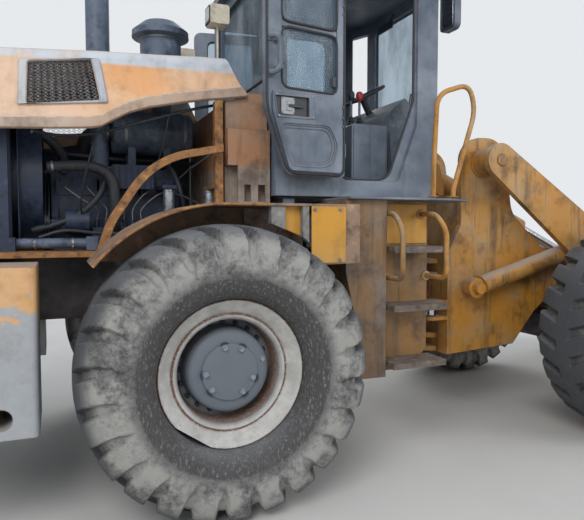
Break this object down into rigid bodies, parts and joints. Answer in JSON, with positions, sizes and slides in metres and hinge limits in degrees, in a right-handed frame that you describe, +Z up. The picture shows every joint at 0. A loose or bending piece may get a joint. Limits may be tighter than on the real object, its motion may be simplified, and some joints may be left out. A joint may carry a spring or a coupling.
{
  "type": "wheel loader",
  "caption": "Articulated wheel loader with an open engine bay, a cab with its doors folded back, lift arms and a toothed bucket on the ground.",
  "frame": {"origin": "on the ground, under the middle of the machine's length and width", "axes": "+X forwards, +Y to the machine's left, +Z up"},
  "size_m": [7.95, 3.016, 3.465],
  "materials": {
    "tyre_rubber": "worn and dusty",
    "wheel_grey": "dull grey, rusty edges",
    "frame_paint": "worn yellow",
    "hood_paint": "faded orange",
    "cab_paint": "dull blue grey",
    "window_glass": "clear",
    "dark_iron": "dirty",
    "bare_steel": "bright where it slides",
    "black_plastic": "matte"
  },
  "bodies": {
    "rear": {"rear_frame": "frame_paint", "rear_axle": "dark_iron", "counterweight": "frame_paint", "engine_block": "dark_iron", "radiator": "dark_iron", "rear_guard": "dark_iron", "bay_frame": "frame_paint", "hood": "hood_paint", "hood_grilles": "hood_paint", "exhaust_stack": "dark_iron", "air_cleaner": "dark_iron", "bulkhead": "frame_paint", "rear_fenders": "frame_paint", "cab_shell": "cab_paint", "cab_roof": "cab_paint", "cab_glass": "window_glass", "side_tanks": "frame_paint", "steps": "dark_iron", "cab_platform": "frame_paint", "hand_rails": "frame_paint", "seat": "black_plastic", "side_console": "black_plastic", "dash": "black_plastic", "transmission": "dark_iron", "shaft_rear": "dark_iron", "mirrors": "cab_paint", "engine_fittings": "black_plastic", "lamps": "black_plastic"},
    "front": {"front_frame": "frame_paint", "tower_pins": "frame_paint", "front_axle": "dark_iron", "shaft_front": "dark_iron"},
    "boom": {"boom": "frame_paint"},
    "rocker": {"rocker": "frame_paint"},
    "bucket": {"bucket": "frame_paint", "bucket_edge": "bare_steel"},
    "bucket_link": {"bucket_link": "frame_paint"},
    "tilt_barrel": {"tilt_barrel": "frame_paint"},
    "tilt_rod": {"tilt_rod": "bare_steel"},
    "fan": {"cooling_fan": "dark_iron"},
    "wheel_front_left": {"tyre_front_left": "tyre_rubber", "rim_front_left": "wheel_grey"},
    "wheel_rear_left": {"tyre_rear_left": "tyre_rubber", "rim_rear_left": "wheel_grey"},
    "door_left": {"door_left": "cab_paint", "door_glass_left": "window_glass"},
    "lift_left_barrel": {"lift_left_barrel": "frame_paint"},
    "lift_left_rod": {"lift_left_rod": "bare_steel"},
    "steer_left_barrel": {"steer_left_barrel": "frame_paint"},
    "steer_left_rod": {"steer_left_rod": "bare_steel"},
    "wheel_front_right": {"tyre_front_right": "tyre_rubber", "rim_front_right": "wheel_grey"},
    "wheel_rear_right": {"tyre_rear_right": "tyre_rubber", "rim_rear_right": "wheel_grey"},
    "door_right": {"door_right": "cab_paint", "door_glass_right": "window_glass"},
    "lift_right_barrel": {"lift_right_barrel": "frame_paint"},
    "lift_right_rod": {"lift_right_rod": "bare_steel"},
    "steer_right_barrel": {"steer_right_barrel": "frame_paint"},
    "steer_right_rod": {"steer_right_rod": "bare_steel"}
  },
  "joints": [
    {"name": "steering", "type": "hinge", "parent": "rear", "child": "front", "pos_m": [-0.375, 0, 0], "axis": [0, 0, 1], "range_deg": [-35, 35]},
    {"name": "boom_lift", "type": "hinge", "parent": "front", "child": "boom", "pos_m": [0.33, 0, 2.1], "axis": [0, -1, 0], "range_deg": [0, 78]},
    {"name": "rocker_turn", "type": "hinge", "parent": "boom", "child": "rocker", "pos_m": [1.98, 0, 0.98], "axis": [0, 1, 0], "range_deg": [-40.1, 120.1]},
    {"name": "bucket_tilt", "type": "hinge", "parent": "boom", "child": "bucket", "pos_m": [2.7, 0, 0.32], "axis": [0, 1, 0], "range_deg": [-40, 120]},
    {"name": "link_turn", "type": "hinge", "parent": "rocker", "child": "bucket_link", "pos_m": [1.99745, 0, 1.37962], "axis": [0, 1, 0], "range_deg": [-120.1, 40.1]},
    {"name": "tilt_cylinder_turn", "type": "hinge", "parent": "front", "child": "tilt_barrel", "pos_m": [0.065, 0, 2.05], "axis": [0, -1, 0], "range_deg": [0, 68.39]},
    {"name": "tilt_cylinder_stroke", "type": "slide", "parent": "tilt_barrel", "child": "tilt_rod", "axis": [0.9125, 0, -0.4092], "range_m": [-0.12744, 0.38231]},
    {"name": "wheel_front_left_spin", "type": "hinge", "parent": "front", "child": "wheel_front_left", "pos_m": [1.275, 1.125, 0.8], "axis": [0, 1, 0], "continuous": true},
    {"name": "wheel_rear_left_spin", "type": "hinge", "parent": "rear", "child": "wheel_rear_left", "pos_m": [-2.025, 1.125, 0.8], "axis": [0, 1, 0], "continuous": true},
    {"name": "door_left_swing", "type": "hinge", "parent": "rear", "child": "door_left", "pos_m": [-1.125, 0.8, 2.08], "axis": [0, 0, -1], "range_deg": [0, 170]},
    {"name": "lift_left_turn", "type": "hinge", "parent": "front", "child": "lift_left_barrel", "pos_m": [0.2, 0.51, 1.1], "axis": [0, -1, 0], "range_deg": [0, 46.22]},
    {"name": "lift_left_stroke", "type": "slide", "parent": "lift_left_barrel", "child": "lift_left_rod", "axis": [0.9624, 0, 0.2715], "range_m": [0, 0.91363]},
    {"name": "steer_left_turn", "type": "hinge", "parent": "rear", "child": "steer_left_barrel", "pos_m": [-1.095, 0.5, 0.92], "axis": [0, 0, 1], "range_deg": [-6.5, 6.5]},
    {"name": "steer_left_stroke", "type": "slide", "parent": "steer_left_barrel", "child": "steer_left_rod", "axis": [0.99, -0.1411, 0], "range_m": [-0.23272, 0.23272]},
    {"name": "wheel_front_right_spin", "type": "hinge", "parent": "front", "child": "wheel_front_right", "pos_m": [1.275, -1.125, 0.8], "axis": [0, 1, 0], "continuous": true},
    {"name": "wheel_rear_right_spin", "type": "hinge", "parent": "rear", "child": "wheel_rear_right", "pos_m": [-2.025, -1.125, 0.8], "axis": [0, 1, 0], "continuous": true},
    {"name": "door_right_swing", "type": "hinge", "parent": "rear", "child": "door_right", "pos_m": [-1.125, -0.8, 2.08], "axis": [0, 0, 1], "range_deg": [0, 170]},
    {"name": "lift_right_turn", "type": "hinge", "parent": "front", "child": "lift_right_barrel", "pos_m": [0.2, -0.51, 1.1], "axis": [0, -1, 0], "range_deg": [0, 46.22]},
    {"name": "lift_right_stroke", "type": "slide", "parent": "lift_right_barrel", "child": "lift_right_rod", "axis": [0.9624, 0, 0.2715], "range_m": [0, 0.91363]},
    {"name": "steer_right_turn", "type": "hinge", "parent": "rear", "child": "steer_right_barrel", "pos_m": [-1.095, -0.5, 0.92], "axis": [0, 0, 1], "range_deg": [-6.5, 6.5]},
    {"name": "steer_right_stroke", "type": "slide", "parent": "steer_right_barrel", "child": "steer_right_rod", "axis": [0.99, 0.1411, 0], "range_m": [-0.23272, 0.23272]},
    {"name": "fan_spin", "type": "hinge", "parent": "rear", "child": "fan", "pos_m": [-3.07, 0, 1.88], "axis": [1, 0, 0], "continuous": true}
  ],
  "couplings": [
    {"joint": "rocker_turn", "follows": "bucket_tilt", "ratio": 1},
    {"joint": "link_turn", "follows": "bucket_tilt", "ratio": -1},
    {"joint": "tilt_cylinder_turn", "follows": "boom_lift", "ratio": 0.87598},
    {"joint": "tilt_cylinder_stroke", "follows": "bucket_tilt", "m_per_rad": 0.18236},
    {"joint": "lift_left_turn", "follows": "boom_lift", "ratio": 0.592},
    {"joint": "lift_left_stroke", "follows": "boom_lift", "m_per_rad": 0.67045},
    {"joint": "steer_left_turn", "follows": "steering", "ratio": 0.1856},
    {"joint": "steer_left_stroke", "follows": "steering", "m_per_rad": -0.38059},
    {"joint": "lift_right_turn", "follows": "boom_lift", "ratio": 0.592},
    {"joint": "lift_right_stroke", "follows": "boom_lift", "m_per_rad": 0.67045},
    {"joint": "steer_right_turn", "follows": "steering", "ratio": 0.1856},
    {"joint": "steer_right_stroke", "follows": "steering", "m_per_rad": 0.38059}
  ]
}
